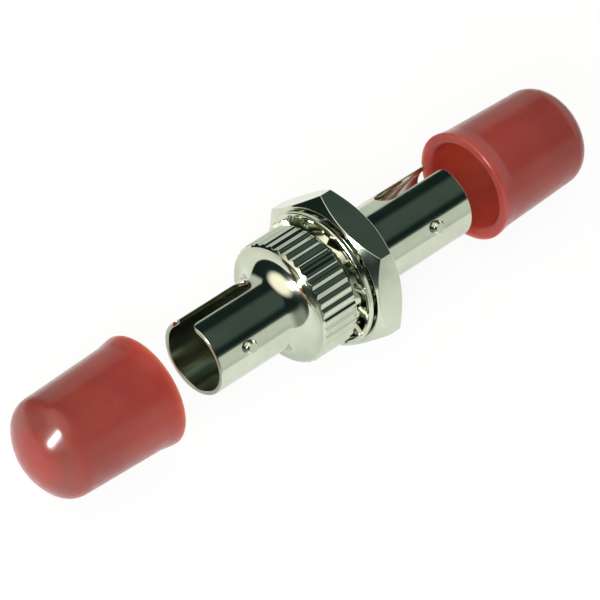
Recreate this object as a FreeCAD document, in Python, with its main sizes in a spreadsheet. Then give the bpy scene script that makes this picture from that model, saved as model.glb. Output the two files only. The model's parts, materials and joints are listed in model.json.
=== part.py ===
import FreeCAD, Part
import math
import os

import Sketcher

# Fibre optic bayonet adapter: a knurled, threaded bulkhead body that joins two round plugs end to end.
# Millimetres. X is the optical axis, from the front socket (-X) to the rear socket (+X). Z is up.
# The origin is on the axis, in the plane of the collar's rear face, which seats on a panel.

SIZES = {
    # Barrels and the plug sockets inside them
    "barrel_od": 7.0,
    "barrel_wall": 0.4,
    "front_barrel_length": 9.95,
    "rear_barrel_length": 11.4,
    "front_socket_depth": 8.9,
    "rear_socket_depth": 8.9,
    # Keyways, open at each mouth
    "keyway_width": 2.0,
    "keyway_corner": 0.65,
    "front_keyway_length": 7.6,
    "rear_keyway_length": 7.0,
    "keyway_clocking": 41.5,
    # Bayonet pins, a quarter turn from the keyway
    "pin_diameter": 1.25,
    "pin_height": 0.5,
    "pin_chamfer": 0.18,
    "front_pin_setback": 3.45,
    "rear_pin_setback": 4.2,
    # Knurled collar
    "collar_od": 11.4,
    "collar_length": 3.8,
    "collar_chamfer": 0.25,
    "root_fillet": 1.9,
    "rib_count": 40,
    "groove_depth": 0.13,
    "groove_width": 0.8,
    "groove_root": 0.1,
    # Threaded neck
    "thread_od": 9.525,
    "neck_length": 4.9,
    "neck_chamfer": 0.3,
    # Joint between the body, the sleeve holder and the rear barrel
    "seat_depth": 4.6,
    "flange_thickness": 1.0,
    "press_gap": 0.01,
    # Split sleeve and what keeps it
    "ferrule_diameter": 2.5,
    "sleeve_wall": 0.4,
    "sleeve_slit": 0.45,
    "sleeve_float": 0.1,
    "sleeve_end_play": 0.05,
    "holder_wall": 0.5,
    "lip_thickness": 0.4,
    "lip_clearance": 0.2,
    # Internal-tooth lock washer
    "washer_standoff": 0.65,
    "rim_width": 0.45,
    "rim_thickness": 0.5,
    "tooth_count": 14,
    "tooth_length": 1.03,
    "tooth_width": 1.3,
    "tooth_twist": 22.0,
    "tooth_bite": 0.25,
    "tooth_clearance": 0.1,
    # Hexagon nut
    "nut_flats": 13.4,
    "nut_thickness": 2.85,
    "nut_clearance": 0.02,
    "nut_face_inset": 0.15,
    "nut_chamfer_angle": 35.0,
    "nut_bore_chamfer": 0.3,
    "thread_clearance": 0.05,
    # Dust caps
    "cap_wall": 0.9,
    "cap_clearance": 0.08,
    "cap_straight": 9.8,
    "cap_dome": 3.0,
    "cap_shoulder": 2.0,
    "cap_taper": 0.3,
    "cap_end_wall": 1.1,
    "cap_inner_bevel": 1.7,
    "cap_lip_flare": 0.22,
    "cap_lip_length": 1.4,
    "cap_lip_bevel": 0.15,
    "cap_mouth_bevel": 0.45,
    "front_cap_gap": 5.67,
    "rear_cap_gap": 2.46,
}

# How far a cutting outline runs past the metal that it cuts
OVERCUT = 0.5

# Largest share of the step from barrel to collar that the root fillet fills
FILLET_SHARE = 0.95

HALF_TURN = 180.0


class Size:
    """A number taken from the sheet, carried with the formula that ties it there."""

    def __init__(self, value, formula):
        self.value = value
        self.formula = formula

    def __add__(self, other):
        other = as_size(other)
        return Size(self.value + other.value, f"({self.formula} + {other.formula})")

    def __sub__(self, other):
        other = as_size(other)
        return Size(self.value - other.value, f"({self.formula} - {other.formula})")

    def __mul__(self, other):
        other = as_size(other)
        return Size(self.value * other.value, f"({self.formula} * {other.formula})")

    def __truediv__(self, other):
        other = as_size(other)
        return Size(self.value / other.value, f"({self.formula} / {other.formula})")

    def __neg__(self):
        return Size(-self.value, f"(0 - {self.formula})")


def as_size(number):
    """Return number as a Size."""
    if isinstance(number, Size):
        return number
    return Size(number, repr(number))


def sine(angle):
    """Sine of an angle in degrees."""
    return Size(math.sin(math.radians(angle.value)), f"sin({angle.formula} * 1 deg)")


def cosine(angle):
    """Cosine of an angle in degrees."""
    return Size(math.cos(math.radians(angle.value)), f"cos({angle.formula} * 1 deg)")


def tangent(angle):
    """Tangent of an angle in degrees."""
    return Size(math.tan(math.radians(angle.value)), f"tan({angle.formula} * 1 deg)")


def smaller(first, second):
    """The smaller of two sizes."""
    return Size(min(first.value, second.value), f"min({first.formula}; {second.formula})")


ZERO = as_size(0.0)
ROOT_OF_THREE = Size(math.sqrt(3.0), "sqrt(3)")

document = FreeCAD.newDocument("adapter")
sheet = document.addObject("Spreadsheet::Sheet", "dims")
for row, (alias, number) in enumerate(SIZES.items(), start=1):
    sheet.set(f"A{row}", alias)
    sheet.set(f"B{row}", str(number))
    sheet.setAlias(f"B{row}", alias)
document.recompute()


class Sheet:
    """The sheet's cells, read by name as sizes."""

    def __getattr__(self, alias):
        return Size(float(getattr(sheet, alias)), f"dims.{alias}")


dims = Sheet()

# Radii shared by pieces that fit together
barrel_radius = dims.barrel_od / 2
socket_radius = barrel_radius - dims.barrel_wall
collar_radius = dims.collar_od / 2
thread_radius = dims.thread_od / 2
pin_radius = dims.pin_diameter / 2
pin_tip_radius = barrel_radius + dims.pin_height
ferrule_radius = dims.ferrule_diameter / 2
sleeve_radius = ferrule_radius + dims.sleeve_wall
holder_bore_radius = sleeve_radius + dims.sleeve_float
holder_radius = holder_bore_radius + dims.holder_wall
lip_radius = ferrule_radius + dims.lip_clearance
tooth_tip_radius = thread_radius + dims.tooth_clearance
rim_inner_radius = tooth_tip_radius + dims.tooth_length
rim_outer_radius = rim_inner_radius + dims.rim_width
nut_bore_radius = thread_radius + dims.thread_clearance
nut_face_radius = dims.nut_flats / 2 - dims.nut_face_inset
cap_bore_radius = pin_tip_radius + dims.cap_clearance

# Places along the axis
collar_front = -dims.collar_length
front_mouth = collar_front - dims.front_barrel_length
neck_end = dims.neck_length
rear_mouth = neck_end + dims.rear_barrel_length
front_floor = front_mouth + dims.front_socket_depth
rear_floor = rear_mouth - dims.rear_socket_depth
flange_seat = neck_end - dims.seat_depth
rear_barrel_start = flange_seat + dims.flange_thickness
front_pin_place = front_mouth + dims.front_pin_setback
rear_pin_place = rear_mouth - dims.rear_pin_setback
tooth_half_height = (
    dims.tooth_width / 2 * sine(dims.tooth_twist) + dims.rim_thickness / 2 * cosine(dims.tooth_twist)
)
washer_centre = dims.washer_standoff + tooth_half_height
nut_front = washer_centre + tooth_half_height + dims.nut_clearance

parts = []


def origin_feature(body, role):
    """The plane or axis of a body's own origin that has this role."""
    for feature in body.Origin.OriginFeatures:
        if feature.Role == role:
            return feature
    raise ValueError(role)


def new_body(label):
    """A new body that becomes the sub-part of this name."""
    body = document.addObject("PartDesign::Body", label)
    body.Label = label
    parts.append(body)
    return body


def new_sketch(body, name, plane):
    """A sketch of the body on one of its origin planes."""
    sketch = body.newObject("Sketcher::SketchObject", f"{body.Name}_{name}")
    sketch.AttachmentSupport = [(origin_feature(body, plane), "")]
    sketch.MapMode = "FlatFace"
    return sketch


def bind(target, name, size):
    """Tie one property of an object to the sheet."""
    target.setExpression(name, size.formula)


def tie_point(sketch, geometry, point, x, y):
    """Hold a point of a sketch at a place worked out from the sheet."""
    for kind, axis, size in (("DistanceX", -2, x), ("DistanceY", -1, y)):
        if size is ZERO:
            sketch.addConstraint(Sketcher.Constraint("PointOnObject", geometry, point, axis))
        else:
            held = sketch.addConstraint(Sketcher.Constraint(kind, -1, 1, geometry, point, size.value))
            bind(sketch, f"Constraints[{held}]", size)


def arc_between(start, end, radius, turn):
    """The short arc from start to end; turn is 1 for anticlockwise and -1 for clockwise."""
    chord = end - start
    half = chord.Length / 2
    rise = math.sqrt(max(radius * radius - half * half, 0.0))
    left = FreeCAD.Vector(-chord.y, chord.x, 0).normalize()
    centre = (start + end) * 0.5 + left * (rise * turn)
    first, last = (start, end) if turn > 0 else (end, start)
    circle = Part.Circle(centre, FreeCAD.Vector(0, 0, 1), radius)
    angles = [math.atan2(point.y - centre.y, point.x - centre.x) for point in (first, last)]
    return Part.ArcOfCircle(circle, angles[0], angles[1])


def draw_outline(sketch, corners):
    """Draw a closed outline through corners, each (x, y) or (x, y, radius, turn) of the arc after it."""
    places = [FreeCAD.Vector(corner[0].value, corner[1].value, 0) for corner in corners]
    ends = []
    for index, corner in enumerate(corners):
        start = places[index]
        end = places[(index + 1) % len(corners)]
        if len(corner) == 2:
            edge = sketch.addGeometry(Part.LineSegment(start, end))
            ends.append((edge, 1, 2))
            continue
        radius, turn = corner[2], corner[3]
        edge = sketch.addGeometry(arc_between(start, end, radius.value, turn))
        ends.append((edge, 1, 2) if turn > 0 else (edge, 2, 1))
        held = sketch.addConstraint(Sketcher.Constraint("Radius", edge, radius.value))
        bind(sketch, f"Constraints[{held}]", radius)
    for index, (edge, first, last) in enumerate(ends):
        following, following_first, _ = ends[(index + 1) % len(ends)]
        sketch.addConstraint(Sketcher.Constraint("Coincident", edge, last, following, following_first))
        tie_point(sketch, edge, first, corners[index][0], corners[index][1])


def draw_circle(sketch, x, y, radius):
    """Draw a circle whose centre and radius are tied to the sheet."""
    centre = FreeCAD.Vector(x.value, y.value, 0)
    edge = sketch.addGeometry(Part.Circle(centre, FreeCAD.Vector(0, 0, 1), radius.value))
    held = sketch.addConstraint(Sketcher.Constraint("Radius", edge, radius.value))
    bind(sketch, f"Constraints[{held}]", radius)
    tie_point(sketch, edge, 3, x, y)


def revolve(body, name, corners):
    """Turn an outline of (place along X, radius) once round the X axis."""
    sketch = new_sketch(body, f"{name}_profile", "XZ_Plane")
    draw_outline(sketch, corners)
    turned = body.newObject("PartDesign::Revolution", f"{body.Name}_{name}")
    turned.Profile = sketch
    turned.ReferenceAxis = (sketch, ["H_Axis"])
    turned.Angle = 360
    return turned


def turn_away(body, name, outlines):
    """Cut closed outlines of (place along X, radius) away all round the X axis."""
    sketch = new_sketch(body, f"{name}_profile", "XZ_Plane")
    for corners in outlines:
        draw_outline(sketch, corners)
    groove = body.newObject("PartDesign::Groove", f"{body.Name}_{name}")
    groove.Profile = sketch
    groove.ReferenceAxis = (sketch, ["H_Axis"])
    groove.Angle = 360
    return groove


def cut_through(body, name, sketch, towards_normal=False, both_ways=False):
    """Cut a sketch through everything on one side of its plane, or on both."""
    pocket = body.newObject("PartDesign::Pocket", f"{body.Name}_{name}")
    pocket.Profile = sketch
    pocket.Type = "ThroughAll"
    pocket.Reversed = towards_normal
    pocket.Midplane = both_ways
    return pocket


def repeat_round(body, name, feature, count):
    """Repeat a feature evenly round the X axis."""
    document.recompute()
    pattern = body.newObject("PartDesign::PolarPattern", f"{body.Name}_{name}")
    pattern.Originals = [feature]
    pattern.Axis = (origin_feature(body, "X_Axis"), [""])
    pattern.Angle = 360
    pattern.Occurrences = int(count.value)
    bind(pattern, "Occurrences", count)
    body.Tip = pattern
    return pattern


def clock(piece):
    """Turn a piece about X so that its keyway side leans from +Z towards +Y."""
    piece.Placement = FreeCAD.Placement(
        FreeCAD.Vector(0, 0, 0), FreeCAD.Rotation(FreeCAD.Vector(1, 0, 0), -dims.keyway_clocking.value)
    )
    bind(piece, "Placement.Rotation.Angle", -dims.keyway_clocking)


def cut_keyway(body, mouth, inward, length):
    """Cut the open-ended keyway along the top of a barrel; inward is the way in along X, 1 or -1."""
    half = dims.keyway_width / 2
    corner = dims.keyway_corner
    outside = mouth - as_size(OVERCUT) * inward
    shoulder = mouth + corner * inward
    round_start = mouth + (length - half) * inward
    tip = mouth + length * inward
    sketch = new_sketch(body, "keyway_outline", "XY_Plane")
    draw_outline(
        sketch,
        [
            (outside, half + corner),
            (mouth, half + corner, corner, inward),
            (shoulder, half),
            (round_start, half, half, -inward),
            (tip, ZERO, half, -inward),
            (round_start, -half),
            (shoulder, -half, corner, inward),
            (mouth, -(half + corner)),
            (outside, -(half + corner)),
        ],
    )
    return cut_through(body, "keyway", sketch, towards_normal=True)


def drill_pin_holes(body, place):
    """Drill the two opposite holes that the bayonet pins are pressed into."""
    sketch = new_sketch(body, "pin_hole_outline", "XZ_Plane")
    draw_circle(sketch, place, ZERO, pin_radius + dims.press_gap)
    return cut_through(body, "pin_holes", sketch, both_ways=True)


def make_adapter_body():
    """Front barrel, knurled collar and threaded neck, turned as one piece."""
    body = new_body("adapter_body")
    chamfer = dims.collar_chamfer
    fillet = smaller(dims.root_fillet, (collar_radius - chamfer - barrel_radius) * FILLET_SHARE)
    counterbore_radius = barrel_radius + dims.press_gap
    neck_chamfer = smaller(dims.neck_chamfer, (thread_radius - counterbore_radius) / 2)
    web_radius = holder_radius + dims.press_gap
    revolve(
        body,
        "blank",
        [
            (front_mouth, barrel_radius),
            (collar_front - fillet, barrel_radius, fillet, 1),
            (collar_front, barrel_radius + fillet),
            (collar_front, collar_radius - chamfer),
            (collar_front + chamfer, collar_radius),
            (ZERO, collar_radius),
            (ZERO, thread_radius),
            (neck_end - neck_chamfer, thread_radius),
            (neck_end, thread_radius - neck_chamfer),
            (neck_end, counterbore_radius),
            (flange_seat, counterbore_radius),
            (flange_seat, web_radius),
            (front_floor, web_radius),
            (front_floor, socket_radius),
            (front_mouth, socket_radius),
        ],
    )
    cut_knurl(body)
    cut_keyway(body, front_mouth, 1, dims.front_keyway_length)
    drill_pin_holes(body, front_pin_place)
    clock(body)


def cut_knurl(body):
    """Cut the straight grooves that leave the collar's ribs."""
    half_pitch = as_size(HALF_TURN) / dims.rib_count
    sketch = new_sketch(body, "groove_outline", "YZ_Plane")
    sketch.AttachmentOffset = FreeCAD.Placement(
        FreeCAD.Vector(0, 0, 0), FreeCAD.Rotation(FreeCAD.Vector(0, 0, 1), half_pitch.value)
    )
    bind(sketch, "AttachmentOffset.Rotation.Angle", half_pitch)
    root_half = dims.groove_root / 2
    root = collar_radius - dims.groove_depth
    flare = (dims.groove_width - dims.groove_root) / 2 / dims.groove_depth
    top_half = root_half + flare * (dims.groove_depth + OVERCUT)
    top = collar_radius + OVERCUT
    draw_outline(sketch, [(-root_half, root), (root_half, root), (top_half, top), (-top_half, top)])
    groove = cut_through(body, "groove", sketch)
    repeat_round(body, "knurl", groove, dims.rib_count)


def make_rear_barrel():
    """Rear barrel, pressed into the neck up to the sleeve holder's flange."""
    body = new_body("rear_barrel")
    web_radius = holder_radius + dims.press_gap
    revolve(
        body,
        "blank",
        [
            (rear_barrel_start, barrel_radius),
            (rear_mouth, barrel_radius),
            (rear_mouth, socket_radius),
            (rear_floor, socket_radius),
            (rear_floor, web_radius),
            (rear_barrel_start, web_radius),
        ],
    )
    cut_keyway(body, rear_mouth, -1, dims.rear_keyway_length)
    drill_pin_holes(body, rear_pin_place)
    clock(body)


def make_bayonet_pins(label, place):
    """Two pins in line across a barrel, flush with its socket inside and chamfered outside."""
    rod = document.addObject("PartDesign::Body", f"{label}_rod")
    chamfer = smaller(dims.pin_chamfer, dims.pin_height / 2)
    sketch = new_sketch(rod, "profile", "XY_Plane")
    draw_outline(
        sketch,
        [
            (ZERO, -pin_tip_radius),
            (pin_radius - chamfer, -pin_tip_radius),
            (pin_radius, -(pin_tip_radius - chamfer)),
            (pin_radius, pin_tip_radius - chamfer),
            (pin_radius - chamfer, pin_tip_radius),
            (ZERO, pin_tip_radius),
        ],
    )
    turned = rod.newObject("PartDesign::Revolution", f"{label}_turned")
    turned.Profile = sketch
    turned.ReferenceAxis = (sketch, ["V_Axis"])
    turned.Angle = 360
    bind(rod, "Placement.Base.x", place)
    socket = document.addObject("Part::Cylinder", f"{label}_socket")
    bind(socket, "Radius", socket_radius)
    bind(socket, "Height", pin_radius * 4)
    socket.Placement = FreeCAD.Placement(
        FreeCAD.Vector(0, 0, 0), FreeCAD.Rotation(FreeCAD.Vector(0, 1, 0), 90)
    )
    bind(socket, "Placement.Base.x", place - pin_radius * 2)
    pins = document.addObject("Part::Cut", label)
    pins.Label = label
    pins.Base = rod
    pins.Tool = socket
    clock(pins)
    parts.append(pins)


def make_sleeve_holder():
    """Flanged tube, gripped between the body and the rear barrel, with a lip at its front end."""
    body = new_body("sleeve_holder")
    revolve(
        body,
        "blank",
        [
            (front_floor, lip_radius),
            (front_floor, holder_radius),
            (flange_seat, holder_radius),
            (flange_seat, barrel_radius),
            (rear_barrel_start, barrel_radius),
            (rear_barrel_start, holder_radius),
            (rear_floor, holder_radius),
            (rear_floor, holder_bore_radius),
            (front_floor + dims.lip_thickness, holder_bore_radius),
            (front_floor + dims.lip_thickness, lip_radius),
        ],
    )


def make_sleeve_retainer():
    """Ring pressed into the holder's rear end to keep the split sleeve in."""
    body = new_body("sleeve_retainer")
    outer = holder_bore_radius - dims.press_gap
    start = rear_floor - dims.lip_thickness
    revolve(
        body,
        "ring",
        [(start, lip_radius), (start, outer), (rear_floor, outer), (rear_floor, lip_radius)],
    )


def make_alignment_sleeve():
    """Split sleeve that brings the two ferrules into line."""
    body = new_body("alignment_sleeve")
    start = front_floor + dims.lip_thickness + dims.sleeve_end_play
    end = rear_floor - dims.lip_thickness - dims.sleeve_end_play
    revolve(
        body,
        "tube",
        [(start, ferrule_radius), (start, sleeve_radius), (end, sleeve_radius), (end, ferrule_radius)],
    )
    half = dims.sleeve_slit / 2
    sketch = new_sketch(body, "slit_outline", "XY_Plane")
    low = start - OVERCUT
    high = end + OVERCUT
    draw_outline(sketch, [(low, -half), (high, -half), (high, half), (low, half)])
    cut_through(body, "slit", sketch, towards_normal=True)


def make_lock_washer():
    """Stamped rim with teeth on its inside, each twisted about its own radius."""
    body = new_body("lock_washer")
    half = dims.rim_thickness / 2
    revolve(
        body,
        "rim",
        [
            (-half, rim_inner_radius),
            (-half, rim_outer_radius),
            (half, rim_outer_radius),
            (half, rim_inner_radius),
        ],
    )
    sketch = new_sketch(body, "tooth_section", "XY_Plane")
    sketch.AttachmentOffset = FreeCAD.Placement(
        FreeCAD.Vector(0, 0, tooth_tip_radius.value),
        FreeCAD.Rotation(FreeCAD.Vector(0, 0, 1), dims.tooth_twist.value),
    )
    bind(sketch, "AttachmentOffset.Base.z", tooth_tip_radius)
    bind(sketch, "AttachmentOffset.Rotation.Angle", dims.tooth_twist)
    side = dims.tooth_width / 2
    draw_outline(sketch, [(-half, -side), (half, -side), (half, side), (-half, side)])
    tooth = body.newObject("PartDesign::Pad", "lock_washer_tooth")
    tooth.Profile = sketch
    bind(tooth, "Length", dims.tooth_length + dims.tooth_bite)
    repeat_round(body, "teeth", tooth, dims.tooth_count)
    bind(body, "Placement.Base.x", washer_centre)


def make_hex_nut():
    """Hexagon nut, chamfered on both faces; one flat faces straight down."""
    body = new_body("hex_nut")
    flat = dims.nut_flats / 2
    corner = dims.nut_flats / ROOT_OF_THREE
    sketch = new_sketch(body, "hexagon", "YZ_Plane")
    draw_outline(
        sketch,
        [
            (corner, ZERO),
            (corner / 2, flat),
            (-(corner / 2), flat),
            (-corner, ZERO),
            (-(corner / 2), -flat),
            (corner / 2, -flat),
        ],
    )
    draw_circle(sketch, ZERO, ZERO, nut_bore_radius)
    blank = body.newObject("PartDesign::Pad", "hex_nut_blank")
    blank.Profile = sketch
    bind(blank, "Length", dims.nut_thickness)
    rim = corner + OVERCUT
    drop = (rim - nut_face_radius) * tangent(dims.nut_chamfer_angle)
    lead = smaller(dims.nut_bore_chamfer, (nut_face_radius - nut_bore_radius) / 2) + OVERCUT
    inside = nut_bore_radius - OVERCUT
    thick = dims.nut_thickness
    overcut = as_size(OVERCUT)
    turn_away(
        body,
        "chamfers",
        [
            [(ZERO, nut_face_radius), (ZERO, rim), (drop, rim)],
            [(thick, nut_face_radius), (thick, rim), (thick - drop, rim)],
            [(-overcut, inside), (lead, inside), (-overcut, nut_bore_radius + lead)],
            [(thick + overcut, inside), (thick - lead, inside), (thick + overcut, nut_bore_radius + lead)],
        ],
    )
    bind(body, "Placement.Base.x", nut_front)


def dome(straight_end, side_radius, height, shoulder):
    """Blend of a shoulder arc into a crown arc: the crown's radius and the point where they meet."""
    reach = side_radius - shoulder
    crown = (height * height + reach * reach - shoulder * shoulder) / ((height - shoulder) * 2)
    share = crown / (crown - shoulder)
    crown_centre = straight_end + height - crown
    meet_x = crown_centre + (straight_end - crown_centre) * share
    return crown, meet_x, reach * share


def make_dust_cap(label, place, facing):
    """Soft moulded cap with a flared lip, slightly tapered sides and a low dome; facing turns it about Z."""
    body = new_body(label)
    side_radius = cap_bore_radius + dims.cap_wall
    lip_radius_outside = side_radius + dims.cap_lip_flare
    bevel = dims.cap_lip_bevel
    mouth_bevel = smaller(dims.cap_mouth_bevel, dims.cap_wall / 2)
    end_radius = side_radius - dims.cap_taper
    straight = dims.cap_straight
    shoulder = dims.cap_shoulder
    tip = straight + dims.cap_dome
    crown, meet_x, meet_radius = dome(straight, end_radius, dims.cap_dome, shoulder)
    inside_end = tip - dims.cap_end_wall
    inside_bevel = dims.cap_inner_bevel
    revolve(
        body,
        "shell",
        [
            (mouth_bevel, cap_bore_radius),
            (ZERO, cap_bore_radius + mouth_bevel),
            (ZERO, lip_radius_outside - bevel),
            (bevel, lip_radius_outside),
            (dims.cap_lip_length / 2, lip_radius_outside),
            (dims.cap_lip_length, side_radius),
            (straight, end_radius, shoulder, -1),
            (meet_x, meet_radius, crown, -1),
            (tip, ZERO),
            (inside_end, ZERO),
            (inside_end, cap_bore_radius - inside_bevel),
            (inside_end - inside_bevel, cap_bore_radius),
        ],
    )
    body.Placement = FreeCAD.Placement(
        FreeCAD.Vector(place.value, 0, 0), FreeCAD.Rotation(FreeCAD.Vector(0, 0, 1), facing)
    )
    bind(body, "Placement.Base.x", place)


def check_and_write():
    """Stop on any failed object or bad shape, and otherwise write one file for each sub-part."""
    for item in document.Objects:
        if "Invalid" in item.State or "Error" in item.State:
            raise RuntimeError(f"{item.Label} failed: {item.State}")
    for piece in parts:
        shape = piece.Shape
        if shape.isNull() or not shape.isValid() or not shape.Solids:
            raise RuntimeError(f"{piece.Label} has no valid solid")
    os.makedirs("parts", exist_ok=True)
    for piece in parts:
        piece.Shape.exportStep(f"parts/{piece.Label}.step")
        print(f"{piece.Label}: {len(piece.Shape.Solids)} solid, {piece.Shape.Volume:.3f} mm3")


make_adapter_body()
make_rear_barrel()
make_bayonet_pins("front_bayonet_pins", front_pin_place)
make_bayonet_pins("rear_bayonet_pins", rear_pin_place)
make_sleeve_holder()
make_sleeve_retainer()
make_alignment_sleeve()
make_lock_washer()
make_hex_nut()
make_dust_cap("front_dust_cap", front_mouth - dims.front_cap_gap, HALF_TURN)
make_dust_cap("rear_dust_cap", rear_mouth + dims.rear_cap_gap, 0)
document.recompute()
check_and_write()
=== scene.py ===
"""Studio picture of a bayonet fibre optic adapter with its dust caps drawn off.

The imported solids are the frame. Each sub-assembly class builds the finer skins that stand for its
solids and dresses them, so every piece keeps the place and the size that the frame gives it.
Lengths are millimetres until a skin becomes a mesh in metres. X is the optical axis and Z is up.
Angles round the axis start at +Z and grow towards +Y.
"""

import json
import logging
import math
from dataclasses import dataclass, field
from enum import Enum
from typing import Any, Callable

import bpy
import numpy as np
from bpy.types import Material, Mesh, Node, NodeSocket, NodeTree, Object
from mathutils import Matrix, Vector

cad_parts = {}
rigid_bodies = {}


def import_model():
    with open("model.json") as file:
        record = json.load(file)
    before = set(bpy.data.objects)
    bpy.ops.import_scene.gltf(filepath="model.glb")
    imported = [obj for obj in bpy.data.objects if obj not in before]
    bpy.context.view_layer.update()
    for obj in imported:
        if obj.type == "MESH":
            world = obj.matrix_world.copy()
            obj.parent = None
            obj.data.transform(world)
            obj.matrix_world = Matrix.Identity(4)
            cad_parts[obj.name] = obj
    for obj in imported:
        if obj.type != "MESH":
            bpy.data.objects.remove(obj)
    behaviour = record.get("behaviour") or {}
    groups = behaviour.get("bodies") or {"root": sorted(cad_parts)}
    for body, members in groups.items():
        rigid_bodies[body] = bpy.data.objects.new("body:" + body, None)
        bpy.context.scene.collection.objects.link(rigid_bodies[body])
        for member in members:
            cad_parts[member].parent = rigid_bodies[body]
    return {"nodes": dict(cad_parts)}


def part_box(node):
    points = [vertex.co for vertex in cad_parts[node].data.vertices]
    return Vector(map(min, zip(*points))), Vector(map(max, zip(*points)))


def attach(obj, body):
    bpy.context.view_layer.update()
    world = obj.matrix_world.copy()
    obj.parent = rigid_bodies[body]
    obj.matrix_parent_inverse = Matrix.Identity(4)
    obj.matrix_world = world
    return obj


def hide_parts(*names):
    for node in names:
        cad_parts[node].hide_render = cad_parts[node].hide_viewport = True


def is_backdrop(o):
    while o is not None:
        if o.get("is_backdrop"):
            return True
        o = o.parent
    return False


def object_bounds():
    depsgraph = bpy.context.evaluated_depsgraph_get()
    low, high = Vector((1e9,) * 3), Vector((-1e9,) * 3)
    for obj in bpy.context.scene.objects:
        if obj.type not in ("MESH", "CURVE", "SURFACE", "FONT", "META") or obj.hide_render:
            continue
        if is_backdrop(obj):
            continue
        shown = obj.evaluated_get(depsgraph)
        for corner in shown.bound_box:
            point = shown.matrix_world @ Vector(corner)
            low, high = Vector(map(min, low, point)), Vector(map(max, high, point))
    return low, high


LOG = logging.getLogger("adapter")

MM = 0.001
TURN = 2.0 * math.pi
FACING = "facing"

# Lengths and turns below this count as none
TINY = 1e-6
# Largest share of a straight stretch that the rounding of one corner may take
ROOM_SHARE = 0.49

# Sizes that the body and both barrels share
KEY_ANGLE = math.radians(41.5)
BARREL_RADIUS = 3.5
SOCKET_DEPTH = 8.9
WEB_RADIUS = 2.26

Corner = tuple[float, float, float]
Way = tuple[float, float, float]


class End(Enum):
    """The two ends of the adapter; the value is the way out along X."""

    FRONT = -1
    REAR = 1


class Slot(Enum):
    """The record's material slots."""

    NICKEL = "nickel_plated_brass"
    STEEL = "plated_spring_steel"
    VINYL = "red_soft_vinyl"


# Skins: points with exact normals, so that mirror-bright metal reflects truly


@dataclass
class Skin:
    """Points in millimetres, their surface normals, and the faces between them."""

    points: np.ndarray
    normals: np.ndarray
    faces: list[tuple[int, ...]]

    def moved(self, matrix: Matrix) -> "Skin":
        """Return a copy that is turned and shifted by a rigid matrix.

        Args:
            matrix: The turn and the shift, in millimetres.

        Returns:
            The copy.
        """
        place = np.array(matrix)
        points = self.points @ place[:3, :3].T + place[:3, 3]
        return Skin(points, self.normals @ place[:3, :3].T, list(self.faces))

    def with_skin(self, other: "Skin") -> "Skin":
        """Return one skin that holds this one and another.

        Args:
            other: The skin to add.

        Returns:
            Both in one.
        """
        shift = len(self.points)
        faces = self.faces + [tuple(index + shift for index in face) for face in other.faces]
        points = np.vstack((self.points, other.points))
        return Skin(points, np.vstack((self.normals, other.normals)), faces)


def outward(points: np.ndarray, normals: np.ndarray, faces: list[tuple[int, ...]]) -> Skin:
    """Drop repeated corners and wind the faces so that they look the way of their normals.

    Args:
        points: Places in millimetres.
        normals: Surface normals of the points.
        faces: Corner indices, which may repeat a pole.

    Returns:
        The skin, with every face facing out.
    """
    clean = []
    for face in faces:
        corners = tuple(dict.fromkeys(face))
        if len(corners) > 2:
            clean.append(corners)
    lead = np.array([face[:3] for face in clean])
    first, second, third = (points[lead[:, column]] for column in range(3))
    ways = np.cross(second - first, third - first)
    if np.sum(ways * normals[lead[:, 1]]) < 0.0:
        clean = [tuple(reversed(face)) for face in clean]
    return Skin(points, normals, clean)


def rounded(*corners: Corner, closed: bool = True, steps: int = 4) -> np.ndarray:
    """Round the corners of an outline.

    Args:
        corners: Clockwise places (x, radius, rounding); the outside lies on the left.
        closed: Whether the last corner joins the first.
        steps: Straight pieces in each rounded corner.

    Returns:
        Rows of x, radius and the two shares of the normal.
    """
    rows = []
    count = len(corners)
    places = np.array([corner[:2] for corner in corners])
    for index, corner in enumerate(corners):
        here = places[index]
        into = here - places[index - 1]
        onward = places[(index + 1) % count] - here
        if not closed and index == 0:
            into = onward
        if not closed and index == count - 1:
            onward = into
        room = ROOM_SHARE * min(np.hypot(*into), np.hypot(*onward))
        into = into / np.hypot(*into)
        onward = onward / np.hypot(*onward)
        turn = math.atan2(into[0] * onward[1] - into[1] * onward[0], float(into @ onward))
        side = np.array((-into[1], into[0]))
        if abs(turn) < TINY:
            rows.append((*here, *side))
            continue
        reach = min(corner[2] * math.tan(abs(turn) / 2), room)
        radius = math.copysign(reach / math.tan(abs(turn) / 2), turn)
        centre = here - into * reach + side * radius
        for step in range(steps + 1):
            angle = turn * step / steps
            cosine, sine = math.cos(angle), math.sin(angle)
            normal = np.array((side[0] * cosine - side[1] * sine, side[0] * sine + side[1] * cosine))
            rows.append((*(centre - normal * radius), *normal))
    return np.array(rows)


def arc_rows(
    centre: tuple[float, float], radius: float, first: float, last: float, steps: int = 14
) -> np.ndarray:
    """Sample an arc of an outline; a negative radius faces its own centre.

    Args:
        centre: Place (x, radius) of the arc's centre.
        radius: Radius of the arc.
        first: Starting angle in degrees, from +X towards larger radii.
        last: Ending angle in degrees.
        steps: Straight pieces in the arc.

    Returns:
        Rows of x, radius and the two shares of the normal.
    """
    angles = np.radians(np.linspace(first, last, steps + 1))
    ways = np.stack((np.cos(angles), np.sin(angles)), axis=1)
    return np.hstack((np.array(centre) + ways * abs(radius), ways * math.copysign(1.0, radius)))


def round_ways(angles: np.ndarray) -> tuple[np.ndarray, np.ndarray]:
    """Return the outward and the sideways unit vectors at angles round the X axis.

    Args:
        angles: Angles from +Z towards +Y.

    Returns:
        The outward vectors and the sideways ones.
    """
    zero = np.zeros_like(angles)
    out = np.stack((zero, np.sin(angles), np.cos(angles)), axis=-1)
    sideways = np.stack((zero, np.cos(angles), -np.sin(angles)), axis=-1)
    return out, sideways


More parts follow.
